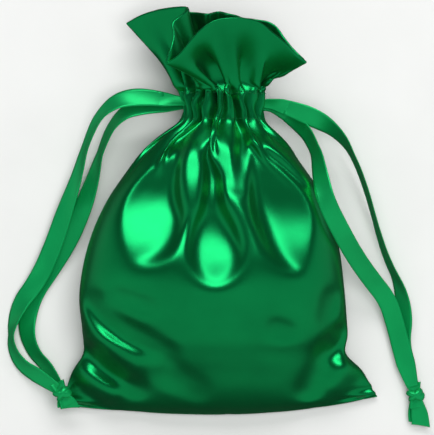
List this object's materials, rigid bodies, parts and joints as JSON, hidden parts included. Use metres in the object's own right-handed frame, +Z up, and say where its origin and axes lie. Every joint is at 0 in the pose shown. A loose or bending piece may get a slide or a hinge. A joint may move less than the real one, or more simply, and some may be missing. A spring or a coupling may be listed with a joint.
{
  "type": "fabric gift sack",
  "caption": "Plump satin drawstring gift sack lying on its back, with a gathered neck, a frilled mouth and a knotted ribbon loop at each side.",
  "frame": {"origin": "centre of the sack's footprint on the surface it lies on, ribbon loops left aside", "axes": "+Z up, +Y from the bottom seam to the frilled mouth, +X across the sack"},
  "size_m": [0.1382, 0.1355, 0.0376],
  "materials": {
    "satin_cloth": "green polyester satin, glossy face",
    "satin_ribbon": "green single-face satin ribbon with woven edges",
    "thread": "green polyester sewing thread"
  },
  "bodies": {
    "sack": {"front_panel": "satin_cloth", "back_panel": "satin_cloth", "front_casing": "satin_cloth", "back_casing": "satin_cloth", "front_frill": "satin_cloth", "back_frill": "satin_cloth", "upper_casing_stitches": "thread", "lower_casing_stitches": "thread", "left_side_seam": "thread", "right_side_seam": "thread", "bottom_seam": "thread", "left_ribbon_in_casing": "satin_ribbon", "right_ribbon_in_casing": "satin_ribbon"},
    "left_pull": {"left_outer_ribbon_exit": "satin_ribbon", "left_inner_ribbon_exit": "satin_ribbon"},
    "left_loop": {"left_outer_ribbon": "satin_ribbon", "left_inner_ribbon": "satin_ribbon", "left_knot": "satin_ribbon", "left_upper_tail": "satin_ribbon", "left_lower_tail": "satin_ribbon"},
    "right_pull": {"right_outer_ribbon_exit": "satin_ribbon", "right_inner_ribbon_exit": "satin_ribbon"},
    "right_loop": {"right_outer_ribbon": "satin_ribbon", "right_inner_ribbon": "satin_ribbon", "right_knot": "satin_ribbon", "right_upper_tail": "satin_ribbon", "right_lower_tail": "satin_ribbon"}
  },
  "joints": [
    {"name": "left_pull_slide", "type": "slide", "parent": "sack", "child": "left_pull", "axis": [-1, 0, 0], "range_m": [0, 0.009]},
    {"name": "left_loop_swing", "type": "hinge", "parent": "left_pull", "child": "left_loop", "pos_m": [-0.0176, 0.0353, 0.012], "axis": [0, 0, 1], "range_deg": [-24, 0]},
    {"name": "right_pull_slide", "type": "slide", "parent": "sack", "child": "right_pull", "axis": [1, 0, 0], "range_m": [0, 0.009]},
    {"name": "right_loop_swing", "type": "hinge", "parent": "right_pull", "child": "right_loop", "pos_m": [0.0196, 0.033, 0.012], "axis": [0, 0, 1], "range_deg": [0, 20]}
  ]
}
